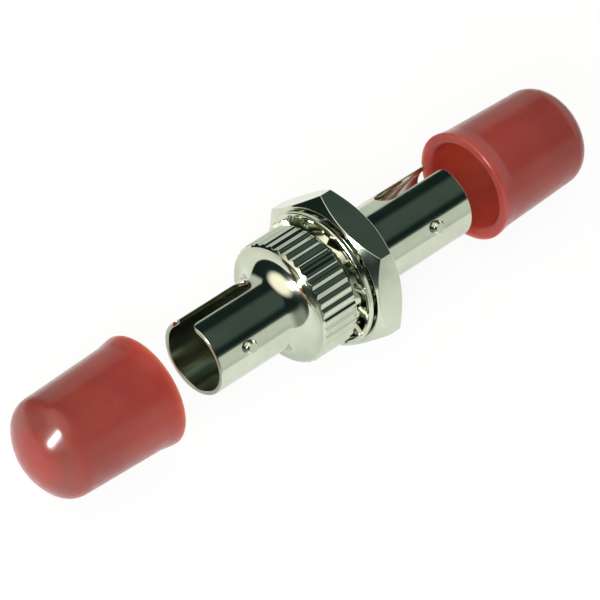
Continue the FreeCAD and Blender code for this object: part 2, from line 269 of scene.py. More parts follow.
def grid_faces(indices: np.ndarray, across: bool, along: bool) -> list[tuple[int, ...]]:
    """Join a grid of point indices into quads.

    Args:
        indices: Point index at each column and row.
        across: Whether the last column joins the first.
        along: Whether the last row joins the first.

    Returns:
        The corner indices of the quads.
    """
    columns = list(indices) + ([indices[0]] if across else [])
    faces = []
    for left, right in zip(columns, columns[1:]):
        rows = len(left) if along else len(left) - 1
        for row in range(rows):
            below = (row + 1) % len(left)
            faces.append((int(left[row]), int(left[below]), int(right[below]), int(right[row])))
    return faces


def wrapped(
    outline: Callable[[float], np.ndarray],
    angles: np.ndarray,
    reaches: np.ndarray,
    slopes: np.ndarray,
    whole: bool = True,
    closed: bool = True,
) -> Skin:
    """Carry an outline round the X axis while its reach changes.

    Args:
        outline: Gives rows of x, radius and normal for a reach.
        angles: Angles of the columns.
        reaches: Reach of the outline at each angle.
        slopes: Change of the reach with the angle.
        whole: Whether the columns go all the way round.
        closed: Whether the outline is a loop.

    Returns:
        The skin.
    """
    nudge, least = 1e-4, 1e-9
    points, normals = [], []
    for angle, reach, slope in zip(angles, reaches, slopes):
        rows = outline(reach)
        drift = (outline(reach + nudge)[:, :2] - rows[:, :2]) / nudge * slope
        out, sideways = (way[0] for way in round_ways(np.array([angle])))
        radius = rows[:, 1]
        tangent = np.outer(rows[:, 3], (1, 0, 0)) - np.outer(rows[:, 2], out)
        swing = np.outer(drift[:, 0], (1, 0, 0)) + np.outer(drift[:, 1], out) + np.outer(radius, sideways)
        flat = np.outer(rows[:, 2], (1, 0, 0)) + np.outer(rows[:, 3], out)
        normal = np.cross(tangent, swing)
        length = np.linalg.norm(normal, axis=1, keepdims=True)
        normal = np.where(length > least, normal / np.maximum(length, least), flat)
        normal *= np.where(np.sum(normal * flat, axis=1, keepdims=True) < 0.0, -1.0, 1.0)
        points.append(np.outer(rows[:, 0], (1, 0, 0)) + np.outer(radius, out))
        normals.append(normal)
    grid = np.array(points)
    count, rows = grid.shape[:2]
    indices = np.arange(count * rows).reshape(count, rows)
    poles = np.hypot(grid[0, :, 1], grid[0, :, 2]) < TINY
    indices[:, poles] = indices[0, poles]
    faces = grid_faces(indices, whole, closed)
    return outward(grid.reshape(-1, 3), np.array(normals).reshape(-1, 3), faces)


def turned(rows: np.ndarray, closed: bool = True, count: int = 192) -> Skin:
    """Turn one outline evenly round the X axis.

    Args:
        rows: Rows of x, radius and normal.
        closed: Whether the outline is a loop.
        count: Number of columns.

    Returns:
        The skin.
    """
    angles = np.linspace(0.0, TURN, count, endpoint=False)
    even = np.zeros(count)
    return wrapped(lambda _: rows, angles, even, even, closed=closed)


def as_mesh(skin: Skin, name: str) -> Mesh:
    """Make a mesh in metres that carries its normals as an attribute, measured round the X axis.

    Args:
        skin: The skin in millimetres.
        name: Name of the mesh.

    Returns:
        The mesh, with unused points left out.
    """
    used = np.unique(np.concatenate([np.array(face) for face in skin.faces]))
    slots = np.full(len(skin.points), -1)
    slots[used] = np.arange(len(used))
    points, normals = skin.points[used], skin.normals[used]
    mesh = bpy.data.meshes.new(name)
    mesh.from_pydata((points * MM).tolist(), [], [tuple(int(slots[i]) for i in face) for face in skin.faces])
    out, sideways = round_ways(np.arctan2(points[:, 1], points[:, 2]))
    shares = (normals[:, 0], np.sum(normals * out, axis=1), np.sum(normals * sideways, axis=1))
    facing = mesh.attributes.new(FACING, "FLOAT_VECTOR", "POINT")
    facing.data.foreach_set("vector", np.stack(shares, axis=1).astype(np.float32).ravel())
    return mesh


def set_facing(mesh: Mesh) -> None:
    """Turn the normals that a mesh carries as an attribute into its shading normals.

    Args:
        mesh: The mesh; the attribute is removed from it.
    """
    count = len(mesh.vertices)
    places = np.zeros(count * 3, np.float32)
    mesh.vertices.foreach_get("co", places)
    places = places.reshape(-1, 3)
    shares = np.zeros(count * 3, np.float32)
    mesh.attributes[FACING].data.foreach_get("vector", shares)
    shares = shares.reshape(-1, 3)
    out, sideways = round_ways(np.arctan2(places[:, 1], places[:, 2]))
    normals = shares[:, :1] * np.array((1.0, 0.0, 0.0)) + shares[:, 1:2] * out + shares[:, 2:] * sideways
    normals /= np.linalg.norm(normals, axis=1, keepdims=True)
    mesh.attributes.remove(mesh.attributes[FACING])
    mesh.shade_smooth()
    mesh.normals_split_custom_set_from_vertices(normals.tolist())


def put(name: str, data: Any) -> Object:
    """Put a new object with this data into the scene.

    Args:
        name: Name of the object.
        data: Its mesh, light or camera.

    Returns:
        The object.
    """
    made = bpy.data.objects.new(name, data)
    bpy.context.scene.collection.objects.link(made)
    return made


@dataclass
class Assembly:
    """Pieces that are built and dressed together."""

    pieces: dict[str, Object] = field(default_factory=dict, kw_only=True)

    def add(self, name: str, form: Skin | Mesh, material: Material) -> None:
        """Put a form into the scene as a piece.

        Args:
            name: Name of the piece.
            form: Its skin or its mesh, in its place in the frame.
            material: Its finish.
        """
        mesh = as_mesh(form, name) if isinstance(form, Skin) else form
        if FACING in mesh.attributes:
            set_facing(mesh)
        mesh.materials.clear()
        mesh.materials.append(material)
        mesh.name = name
        self.pieces[name] = put(name, mesh)

    def hang(self, name: str, body: str, slot: Slot, node: str | None = None) -> None:
        """Hang a piece on a body.

        Args:
            name: Name of the piece.
            body: The body that it rides on.
            slot: A material slot; not used.
            node: The solid that it stands for, where there is one.
        """
        piece = self.pieces[name]
        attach(piece, body)
        if node:
            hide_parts(node)


# Node trees


def add_node(tree: NodeTree, kind: str, links: dict[Any, Any] | None = None, **settings: Any) -> Node:
    """Add a node with its settings and links.

    Args:
        tree: Tree that gets the node.
        kind: The node's type name.
        links: Input name or number, and what it takes: a socket, a node's first output, or a value.
        settings: Properties of the node.

    Returns:
        The new node.
    """
    node = tree.nodes.new(kind)
    for name, value in settings.items():
        setattr(node, name, value)
    for name, value in (links or {}).items():
        source = value.outputs[0] if isinstance(value, Node) else value
        if isinstance(source, NodeSocket):
            tree.links.new(source, node.inputs[name])
        else:
            node.inputs[name].default_value = source
    return node


def new_tree(name: str, **inputs: str) -> tuple[NodeTree, Node]:
    """Start a geometry tree.

    Args:
        name: Name of the tree.
        inputs: Kind of each further input; an underscore in its name stands for a space.

    Returns:
        The tree and its input node.
    """
    tree = bpy.data.node_groups.new(name, "GeometryNodeTree")
    for label, kind in {"Geometry": "Geometry", **inputs, "Material": "Material"}.items():
        label = label.replace("_", " ")
        tree.interface.new_socket(label, in_out="INPUT", socket_type=f"NodeSocket{kind}")
    tree.interface.new_socket("Geometry", in_out="OUTPUT", socket_type="NodeSocketGeometry")
    return tree, add_node(tree, "NodeGroupInput")


def grown(mesh: Mesh, tree: NodeTree, values: dict[str, Any]) -> Mesh:
    """Run a geometry tree over a mesh and return the result as a plain mesh.

    Args:
        mesh: What the tree starts from.
        tree: The geometry tree.
        values: Value of each named input.

    Returns:
        The plain mesh.
    """
    carrier = put("carrier", mesh)
    modifier = carrier.modifiers.new("grow", "NODES")
    modifier.node_group = tree
    for socket in tree.interface.items_tree:
        if socket.in_out == "INPUT" and socket.name in values:
            modifier[socket.identifier] = values[socket.name]
    graph = bpy.context.evaluated_depsgraph_get()
    result = bpy.data.meshes.new_from_object(carrier.evaluated_get(graph), depsgraph=graph)
    carrier.modifiers.clear()
    bpy.data.objects.remove(carrier)
    return result


def round_the_axis_tree() -> NodeTree:
    """Build the tree that repeats a piece evenly round the X axis and welds the seams.

    Returns:
        The tree, with the inputs Count, Weld and Material.
    """
    tree, given = new_tree("round_the_axis", Count="Int", Weld="Float")
    take = given.outputs
    points = add_node(tree, "GeometryNodePoints", {"Count": take["Count"]})
    index = add_node(tree, "GeometryNodeInputIndex")
    step = add_node(tree, "ShaderNodeMath", {0: TURN, 1: take["Count"]}, operation="DIVIDE")
    angle = add_node(tree, "ShaderNodeMath", {0: index, 1: step}, operation="MULTIPLY")
    turn = add_node(tree, "ShaderNodeCombineXYZ", {"X": angle})
    copying = {"Points": points, "Instance": take["Geometry"], "Rotation": turn}
    copies = add_node(tree, "GeometryNodeInstanceOnPoints", copying)
    real = add_node(tree, "GeometryNodeRealizeInstances", {"Geometry": copies})
    welded = add_node(tree, "GeometryNodeMergeByDistance", {"Geometry": real, "Distance": take["Weld"]})
    dressed = add_node(tree, "GeometryNodeSetMaterial", {"Geometry": welded, "Material": take["Material"]})
    add_node(tree, "NodeGroupOutput", {"Geometry": dressed})
    return tree


def screw_thread_tree() -> NodeTree:
    """Build the tree that winds a right-hand thread ridge along the X axis.

    Returns:
        The tree, with the thread's sizes and Material as inputs.
    """
    sizes = ("Pitch", "Turns", "Middle_Radius", "Depth", "Crest", "Start")
    tree, given = new_tree("screw_thread", **dict.fromkeys(sizes, "Float"))
    take = given.outputs
    rise = add_node(tree, "ShaderNodeMath", {0: take["Pitch"], 1: take["Turns"]}, operation="MULTIPLY")
    winding = {
        "Resolution": 96,
        "Rotations": take["Turns"],
        "Start Radius": take["Middle Radius"],
        "End Radius": take["Middle Radius"],
        "Height": rise,
        "Reverse": False,
    }
    helix = add_node(tree, "GeometryNodeCurveSpiral", winding)
    upright = add_node(tree, "GeometryNodeSetCurveNormal", {"Curve": helix}, mode="Z_UP")
    section = {
        "Height": take["Depth"],
        "Bottom Width": take["Pitch"],
        "Top Width": take["Crest"],
        "Offset": 0.0,
    }
    ridge = add_node(tree, "GeometryNodeCurvePrimitiveQuadrilateral", section, mode="TRAPEZOID")
    sweep = {"Curve": upright, "Profile Curve": ridge, "Fill Caps": True}
    swept = add_node(tree, "GeometryNodeCurveToMesh", sweep)
    place = add_node(tree, "ShaderNodeCombineXYZ", {"X": take["Start"]})
    laying = {"Geometry": swept, "Translation": place, "Rotation": (0.0, math.pi / 2, 0.0)}
    laid = add_node(tree, "GeometryNodeTransform", laying)
    real = add_node(tree, "GeometryNodeRealizeInstances", {"Geometry": laid})
    dressed = add_node(tree, "GeometryNodeSetMaterial", {"Geometry": real, "Material": take["Material"]})
    add_node(tree, "NodeGroupOutput", {"Geometry": dressed})
    return tree


# Finishes


def linear(code: str) -> tuple[float, float, float, float]:
    """Turn an sRGB hex value into a linear colour.

    Args:
        code: Such as #a0b1c2.

    Returns:
        Linear RGB and alpha.
    """
    shares = [int(code[place : place + 2], 16) / 255.0 for place in (1, 3, 5)]
    light = [share / 12.92 if share <= 0.04045 else ((share + 0.055) / 1.055) ** 2.4 for share in shares]
    return (light[0], light[1], light[2], 1.0)


def start_material(name: str) -> tuple[Material, NodeTree]:
    """Make an empty node material of this name.

    Args:
        name: Name of the material.

    Returns:
        The material and its tree.
    """
    material = bpy.data.materials.new(name)
    material.use_nodes = True
    material.node_tree.nodes.clear()
    return material, material.node_tree


@dataclass(frozen=True, kw_only=True)
class Finish:
    """Two tones that cloud into each other, with an uneven polish and a fine relief."""

    name: str
    light_tone: str
    dark_tone: str
    roughness: tuple[float, float]
    cloud_mm: float
    cloud_detail: float
    cloud_roughness: float
    cloud_range: tuple[float, float] = (0.3, 0.7)
    relief_mm: float
    relief_strength: float
    relief_height_mm: float
    relief_detail: float = 2.0

    def polish(self, tree: NodeTree, place: NodeSocket, clouds: Node) -> Node:
        """Add the uneven polish, which follows the clouds."""
        (low, high), (smooth, rough) = self.cloud_range, self.roughness
        return add_node(tree, "ShaderNodeMapRange", {0: clouds, 1: low, 2: high, 3: smooth, 4: rough})

    def grain(self, tree: NodeTree, place: NodeSocket) -> Node:
        """Add the noise that makes the relief."""
        values = {"Vector": place, "Scale": 1.0 / (self.relief_mm * MM), "Detail": self.relief_detail}
        return add_node(tree, "ShaderNodeTexNoise", values)

    def substance(self) -> dict[str, Any]:
        """Give the shader's values that set this kind of material apart."""
        raise NotImplementedError

    def material(self) -> Material:
        """Build the material under its name.

        Returns:
            The material.
        """
        made, tree = start_material(self.name)
        place = add_node(tree, "ShaderNodeTexCoord").outputs["Object"]
        cloud = {
            "Vector": place,
            "Scale": 1.0 / (self.cloud_mm * MM),
            "Detail": self.cloud_detail,
            "Roughness": self.cloud_roughness,
        }
        clouds = add_node(tree, "ShaderNodeTexNoise", cloud)
        tint = add_node(tree, "ShaderNodeValToRGB", {0: clouds})
        tones = (self.dark_tone, self.light_tone)
        for stop, position, tone in zip(tint.color_ramp.elements, self.cloud_range, tones):
            stop.position = position
            stop.color = linear(tone)
        relief = {
            "Height": self.grain(tree, place),
            "Strength": self.relief_strength,
            "Distance": self.relief_height_mm * MM,
        }
        surface = {
            "Base Color": tint,
            "Roughness": self.polish(tree, place, clouds),
            "Normal": add_node(tree, "ShaderNodeBump", relief),
            **self.substance(),
        }
        shader = add_node(tree, "ShaderNodeBsdfPrincipled", surface)
        add_node(tree, "ShaderNodeOutputMaterial", {"Surface": shader})
        return made


@dataclass(frozen=True, kw_only=True)
class BrightMetal(Finish):
    """A plated or ground metal, seen mostly by what it mirrors; its relief is turning marks."""

    cloud_detail: float = 3.0
    cloud_roughness: float = 0.55
    relief_height_mm: float = 0.01
    marks_per_metre_across: float = 60.0
    dull_within_mm: float = 0.0
    dull_edge_mm: float = 0.05
    dull_roughness: float = 0.18

    def polish(self, tree: NodeTree, place: NodeSocket, clouds: Node) -> Node:
        """Add the uneven polish, duller near the X axis where a limit is set.

        Args:
            tree: The material's tree.
            place: Object coordinates.
            clouds: The noise that the polish follows.

        Returns:
            The node that gives the roughness.
        """
        bright = super().polish(tree, place, clouds)
        if not self.dull_within_mm:
            return bright
        across = {0: place, 1: (0.0, 1.0, 1.0)}
        off_axis = add_node(tree, "ShaderNodeVectorMath", across, operation="MULTIPLY")
        reach = add_node(tree, "ShaderNodeVectorMath", {0: off_axis}, operation="LENGTH").outputs["Value"]
        limit = self.dull_within_mm * MM
        fade = {0: reach, 1: limit - self.dull_edge_mm * MM, 2: limit, 3: self.dull_roughness, 4: bright}
        return add_node(tree, "ShaderNodeMapRange", fade)

    def grain(self, tree: NodeTree, place: NodeSocket) -> Node:
        """Add noise that is drawn out round the X axis, as a lathe leaves it.

        Args:
            tree: The material's tree.
            place: Object coordinates.

        Returns:
            The node that gives the noise.
        """
        across = self.marks_per_metre_across
        scale = (1.0 / (self.relief_mm * MM), across, across)
        lathe = add_node(tree, "ShaderNodeMapping", {"Vector": place, "Scale": scale})
        values = {"Vector": lathe, "Scale": 1.0, "Detail": self.relief_detail}
        return add_node(tree, "ShaderNodeTexNoise", values)

    def substance(self) -> dict[str, Any]:
        """Give the values of bare metal."""
        return {"Metallic": 1.0}


@dataclass(frozen=True, kw_only=True)
class SoftVinyl(Finish):
    """Dip-moulded PVC: an even body colour that light soaks into, under a fine orange-peel skin."""

    cloud_detail: float = 1.5
    cloud_roughness: float = 0.5
    relief_strength: float = 0.06
    relief_height_mm: float = 0.05
    index: float = 1.53
    gloss: float = 0.26
    soak: tuple[float, float, float] = (1.0, 0.5, 0.4)
    soak_mm: float = 6.0

    def substance(self) -> dict[str, Any]:
        """Give the values of a soft plastic that light soaks into."""
        return {
            "IOR": self.index,
            "Specular IOR Level": self.gloss,
            "Subsurface Weight": 1.0,
            "Subsurface Radius": self.soak,
            "Subsurface Scale": self.soak_mm * MM,
        }


# Bright nickel over turned brass: a clear mirror with a cool, slightly green grey. Plating reaches
# poorly into a bore, so the insides of the barrels mirror less sharply.
NICKEL = BrightMetal(
    name="bright_nickel_plate",
    light_tone="#cbd2c3",
    dark_tone="#bec6b5",
    roughness=(0.07, 0.12),
    cloud_mm=2.5,
    relief_mm=0.12,
    relief_strength=0.1,
    dull_within_mm=3.2,
)
# Nickel on stamped spring steel: whiter and a little softer than on the turned pieces.
SPRING_STEEL = BrightMetal(
    name="nickel_plated_spring_steel",
    light_tone="#d6dacb",
    dark_tone="#c6ccba",
    roughness=(0.1, 0.18),
    cloud_mm=1.2,
    relief_mm=0.3,
    relief_strength=0.08,
)
# Ground phosphor bronze: a warm brown metal with a fine satin.
BRONZE = BrightMetal(
    name="phosphor_bronze",
    light_tone="#c98d5a",
    dark_tone="#b87b48",
    roughness=(0.2, 0.26),
    cloud_mm=1.5,
    relief_mm=0.08,
    relief_strength=0.15,
)
# Soft red PVC: a dull brick red that glows where it is thin, with a soft sheen.
RED_VINYL = SoftVinyl(
    name="soft_red_vinyl",
    light_tone="#93413a",
    dark_tone="#873935",
    roughness=(0.17, 0.22),
    cloud_mm=5.0,
    relief_mm=0.6,
)


# Sub-assemblies


@dataclass
class Barrel:
    """A thin barrel with an open milled keyway; depths count inwards from its mouth."""

    end: End
    mouth: float
    outer: float = BARREL_RADIUS
    inner: float = 3.1
    key_half: float = 1.0
    key_corner: float = 0.65
    key_length: float = 7.6
    joint: float = 7.75
    edge: float = 0.1
    floor: float = SOCKET_DEPTH
    floor_round: float = 0.12
    web: float = WEB_RADIUS
    web_round: float = 0.03
    columns: int = 480
    rows: int = 12
    bends: int = 6
    corner_share: float = 0.8
    round_share: float = 0.45

    @property
    def flare(self) -> float:
        """Distance from the keyway's middle plane to where its corners meet the mouth."""
        return self.key_half + self.key_corner

    def edge_line(self, spread: np.ndarray) -> tuple[np.ndarray, np.ndarray, np.ndarray]:
        """Follow the mouth and the keyway's edge, one place for each column.

        Args:
            spread: Angles of the columns from the keyway's middle, on the outside.

        Returns:
            Depths, distances from the keyway's middle plane, and unit ways into the metal.
        """
        share = np.abs(spread) / math.asin(self.flare / self.outer)
        quarter = math.pi / 2
        corner = np.clip((1.0 - share) / (1.0 - self.corner_share), 0.0, 1.0) * quarter
        run = (self.corner_share - share) / (self.corner_share - self.round_share)
        tip = np.clip(share / self.round_share, 0.0, 1.0) * quarter
        centre = self.key_length - self.key_half
        stretches = [share > self.corner_share, share > self.round_share]
        depth = np.select(
            stretches,
            [self.key_corner * (1.0 - np.cos(corner)), self.key_corner + (centre - self.key_corner) * run],
            centre + self.key_half * np.cos(tip),
        )
        across = np.select(
            stretches,
            [self.flare - self.key_corner * np.sin(corner), np.full_like(share, self.key_half)],
            self.key_half * np.sin(tip),
        )
        inwards = np.select(stretches, [np.cos(corner), np.zeros_like(share)], np.cos(tip))
        aside = np.select(stretches, [np.sin(corner), np.ones_like(share)], np.sin(tip))
        side = np.sign(spread)
        return depth, across * side, np.stack((inwards, aside * side), axis=1)

    def crossing(self, spread: np.ndarray, across: np.ndarray, radius: float) -> np.ndarray:
        """Find where the columns of the edge cross a radius, with the keyway's walls kept parallel.

        Args:
            spread: Angles of the columns from the keyway's middle, on the outside.
            across: Distances of the columns from the keyway's middle plane.
            radius: Radius to cross.

        Returns:
            Angles from the keyway's middle at that radius.
        """
        start, here = math.asin(self.flare / self.outer), math.asin(self.flare / radius)
        share = (np.abs(spread) - start) / (math.pi - start)
        round_mouth = np.sign(spread) * (here + share * (math.pi - here))
        in_keyway = np.arcsin(np.clip(across / radius, -1.0, 1.0))
        return np.where(share < 0.0, in_keyway, round_mouth)

    def beyond(self) -> tuple[Corner, ...]:
        """Give the corners that follow the socket's end wall, round to the outside."""
        raise NotImplementedError

    def rest(self) -> np.ndarray:
        """Give the rows beyond the joint, from the socket's wall round to the outside.

        Returns:
            Rows of depth, radius and normal.
        """
        tail = rounded(
            (self.joint, self.inner, 0.0),
            (self.floor, self.inner, self.floor_round),
            (self.floor, self.web, self.web_round),
            *self.beyond(),
            closed=False,
        )[1:]
        tail[:, 2:] *= -1.0
        return tail

    def skin(self) -> Skin:
        """Build the barrel's skin: outer wall, rounded edge, inner wall and the rest beyond the joint.

        Returns:
            The skin, in its place on the axis.
        """
        # Columns stand half a step off, so that none lies on the keyway's middle plane
        spread = (np.arange(self.columns) + 0.5) / self.columns * TURN - math.pi
        depth, across, ways = self.edge_line(spread)
        inset, aside = depth + ways[:, 0] * self.edge, across + ways[:, 1] * self.edge
        loops: list[tuple[np.ndarray, np.ndarray, float, np.ndarray]] = []

        def wall(radius: float, stand: float, shares: np.ndarray) -> None:
            """Add loops of a plain wall; share 0 is at the joint and 1 at the rounded edge.

            Args:
                radius: Radius of the wall.
                stand: 1 where it faces out and -1 where it faces in.
                shares: Place of each loop.
            """
            turn = self.crossing(spread, aside, radius)
            facing = np.tile((0.0, stand, 0.0), (self.columns, 1))
            for share in shares:
                places = self.joint + (inset - self.joint) * share
                loops.append((places, spread + (turn - spread) * share, radius, facing))

        def rounding(radius: float, stand: float, bends: np.ndarray) -> None:
            """Add loops of a rounded edge; bend 0 is on the wall and a quarter turn on the cut face.

            Args:
                radius: Radius of the wall.
                stand: 1 where the wall faces out and -1 where it faces in.
                bends: Angle of each loop.
            """
            for bend in bends:
                lean = math.sin(bend)
                level = radius - stand * self.edge * (1.0 - math.cos(bend))
                turn = self.crossing(spread, aside - ways[:, 1] * self.edge * lean, level)
                outwards = stand * math.cos(bend) - ways[:, 1] * np.sin(turn) * lean
                facing = np.stack((-ways[:, 0] * lean, outwards, -ways[:, 1] * np.cos(turn) * lean), axis=1)
                loops.append((inset - ways[:, 0] * self.edge * lean, turn, level, facing))

        steps = np.arange(self.rows) / self.rows
        bends = np.linspace(0.0, math.pi / 2, self.bends)
        wall(self.outer, 1.0, steps)
        rounding(self.outer, 1.0, bends)
        rounding(self.inner, -1.0, bends[::-1])
        wall(self.inner, -1.0, steps[::-1])
        for place, radius, slope, stand in self.rest():
            facing = np.tile((slope, stand, 0.0), (self.columns, 1))
            loops.append((np.full(self.columns, place), spread, radius, facing))
        points, normals = [], []
        inward = np.array((-self.end.value, 0.0, 0.0))
        for places, turn, radius, facing in loops:
            out, sideways = round_ways(turn + KEY_ANGLE)
            points.append(np.outer(places, inward) + (self.mouth, 0.0, 0.0) + out * radius)
            normal = facing[:, :1] * inward + facing[:, 1:2] * out + facing[:, 2:] * sideways
            normals.append(normal / np.linalg.norm(normal, axis=1, keepdims=True))
        indices = np.arange(len(loops) * self.columns).reshape(len(loops), self.columns)
        faces = grid_faces(indices, True, True)
        return outward(np.array(points).reshape(-1, 3), np.array(normals).reshape(-1, 3), faces)


def hidden_seam(floor: float, foot: float) -> tuple[Corner, ...]:
    """Give the corners where the front barrel and the collar meet inside the metal.

    Args:
        floor: Place of the socket's floor.
        foot: Place of the foot of the collar's fillet.

    Returns:
        The corners, from the web out to just under the foot.
    """
    behind, sunk, corner = 0.2, 0.2, 0.02
    past_foot, under_foot = 0.005, 0.01
    return (
        (floor + behind, WEB_RADIUS, corner),
        (floor + behind, BARREL_RADIUS - sunk, corner),
        (foot + past_foot, BARREL_RADIUS - under_foot, 0.0),
    )


@dataclass
class FrontBarrel(Barrel):
    """The front barrel; it ends inside the collar, behind the socket's floor."""

    root: float = 8.05

    def beyond(self) -> tuple[Corner, ...]:
        """Give the seam with the collar."""
        return hidden_seam(self.floor, self.root)

    def rest(self) -> np.ndarray:
        """Give the rows beyond the joint, closed at the foot of the collar's fillet."""
        return np.vstack((super().rest(), (self.root, self.outer, 0.0, 1.0)))


@dataclass
class RearBarrel(Barrel):
    """The rear barrel, with the shank that is pressed into the neck."""

    key_length: float = 7.0
    joint: float = 7.6
    tail_end: float = 15.0
    tail_round: float = 0.1
    bore_round: float = 0.05
    shank_start: float = 8.1

    def beyond(self) -> tuple[Corner, ...]:
        """Give the bore for the sleeve holder, and the shank."""
        return (
            (self.tail_end, self.web, self.bore_round),
            (self.tail_end, self.outer, self.tail_round),
            (self.shank_start, self.outer, 0.0),
        )


def bayonet_pins(place: float) -> Skin:
    """Build the two opposite bayonet pins of a barrel, with bevelled heads.

    Args:
        place: Place of the pins along X.

    Returns:
        The skin of both pins, a quarter turn from the keyway.
    """
    foot, tip, radius, bevel = 3.14, 4.0, 0.625, 0.18
    foot_round, head_round = 0.03, 0.05
    outline = rounded(
        (foot, 0.0, 0.0),
        (foot, radius, foot_round),
        (tip - bevel, radius, head_round),
        (tip, radius - bevel, head_round),
        (tip, 0.0, 0.0),
        closed=False,
    )
    pin = turned(outline, closed=False, count=48)
    skins = []
    for quarter in (-math.pi / 2, math.pi / 2):
        out, _ = round_ways(np.array([KEY_ANGLE + quarter]))
        lay = Vector((1.0, 0.0, 0.0)).rotation_difference(Vector(out[0])).to_matrix().to_4x4()
        skins.append(pin.moved(Matrix.Translation((place, 0.0, 0.0)) @ lay))
    return skins[0].with_skin(skins[1])


@dataclass
class AdapterBody(Assembly):
    """Front barrel, knurled collar and threaded neck, with the front bayonet pins."""

    mouth: float
    pin_setback: float = 3.45
    collar_front: float = -3.8
    collar_radius: float = 5.7
    fillet: float = 1.9
    chamfer: float = 0.25
    rear_chamfer: float = 0.06
    least_bevel: float = 0.02
    edge_round: float = 0.04
    rib_round: float = 0.08
    rear_round: float = 0.03
    rib_count: int = 40
    groove_depth: float = 0.13
    rib_steps: int = 16
    rib_weld: float = 2e-7
    neck_end: float = 4.9
    neck_radius: float = 4.7625
    neck_root_round: float = 0.06
    neck_end_round: float = 0.1
    thread_pitch: float = 0.79375
    thread_depth: float = 0.43
    crest_share: float = 1 / 8
    thread_lead: float = 0.1
    thread_runout: float = 0.35
    thread_sharp: float = math.radians(25.0)
    counterbore: float = 3.51
    flange_seat: float = 0.3

    @property
    def core(self) -> float:
        """Radius of the neck at the thread's root."""
        return self.neck_radius - self.thread_depth

    def collar_outline(self, reach: float) -> np.ndarray:
        """Give the collar's section at an angle where its ribs reach this far.

        Args:
            reach: Outer radius of the knurl there.

        Returns:
            Rows of x, radius and normal, as a loop.
        """
        front, foot = self.collar_front, self.collar_front - self.fillet
        shoulder = BARREL_RADIUS + self.fillet
        face = min(reach - self.least_bevel, self.collar_radius - self.chamfer)
        rear_face = min(reach - self.least_bevel, self.collar_radius - self.rear_chamfer)
        fillet = arc_rows((foot, shoulder), -self.fillet, 270.0, 360.0)
        ring = rounded(
            (front, shoulder, 0.0),
            (front, face, self.edge_round),
            (front + reach - face, reach, self.rib_round),
            (-(reach - rear_face), reach, self.rear_round),
            (0.0, rear_face, self.rear_round),
            (0.0, self.core, self.neck_root_round),
            (self.neck_end, self.core, self.neck_end_round),
            (self.neck_end, self.counterbore, self.edge_round),
            (self.flange_seat, self.counterbore, self.edge_round),
            (self.flange_seat, WEB_RADIUS, self.edge_round),
            *hidden_seam(self.mouth + SOCKET_DEPTH, foot),
            closed=False,
        )
        return np.vstack((fillet, ring[1:]))

    def rib_section(self) -> tuple[np.ndarray, np.ndarray, np.ndarray]:
        """Sample one rib from groove to groove.

        Returns:
            Angles from its start, reaches, and changes of the reach with the angle.
        """
        phase = np.linspace(0.0, TURN, self.rib_steps + 1)
        reaches = self.collar_radius - self.groove_depth * (1.0 + np.cos(phase)) / 2
        slopes = self.groove_depth * np.sin(phase) / 2 * self.rib_count
        return phase / self.rib_count, reaches, slopes

    def build(self, nickel: Material) -> None:
        """Build the collar, the barrel, the thread and the pins in bright nickel.

        Args:
            nickel: The plating.
        """
        angles, reaches, slopes = self.rib_section()
        start = KEY_ANGLE + math.pi / self.rib_count
        rib = wrapped(self.collar_outline, angles + start, reaches, slopes, whole=False, closed=True)
        values = {"Count": self.rib_count, "Weld": self.rib_weld, "Material": nickel}
        self.add("knurled_collar", grown(as_mesh(rib, "rib"), round_the_axis_tree(), values), nickel)
        self.add("front_barrel", FrontBarrel(End.FRONT, self.mouth).skin(), nickel)
        values = {
            "Pitch": self.thread_pitch * MM,
            "Turns": (self.neck_end - self.thread_runout) / self.thread_pitch,
            "Middle Radius": (self.core + self.neck_radius) / 2 * MM,
            "Depth": self.thread_depth * MM,
            "Crest": self.thread_pitch * self.crest_share * MM,
            "Start": -self.thread_lead * MM,
            "Material": nickel,
        }
        thread = grown(bpy.data.meshes.new("ridge"), screw_thread_tree(), values)
        thread.shade_smooth()
        thread.set_sharp_from_angle(angle=self.thread_sharp)
        self.add("neck_thread", thread, nickel)
        self.add("front_pins", bayonet_pins(self.mouth + self.pin_setback), nickel)

    def dress(self) -> None:
        """Hang the pieces on the adapter's body in place of its solids."""
        self.hang("knurled_collar", "adapter", Slot.NICKEL, "adapter_body")
        self.hang("front_barrel", "adapter", Slot.NICKEL, "adapter_body")
        self.hang("neck_thread", "adapter", Slot.NICKEL)
        self.hang("front_pins", "adapter", Slot.NICKEL, "front_bayonet_pins")


@dataclass
class RearSocket(Assembly):
    """The rear barrel with its bayonet pins."""

    mouth: float
    pin_setback: float = 4.2

    def build(self, nickel: Material) -> None:
        """Build the barrel and the pins in bright nickel."""
        self.add("rear_barrel_shell", RearBarrel(End.REAR, self.mouth).skin(), nickel)
        self.add("rear_pins", bayonet_pins(self.mouth - self.pin_setback), nickel)

    def dress(self) -> None:
        """Hang the pieces on the adapter's body in place of their solids."""
        self.hang("rear_barrel_shell", "adapter", Slot.NICKEL, "rear_barrel")
        self.hang("rear_pins", "adapter", Slot.NICKEL, "rear_bayonet_pins")


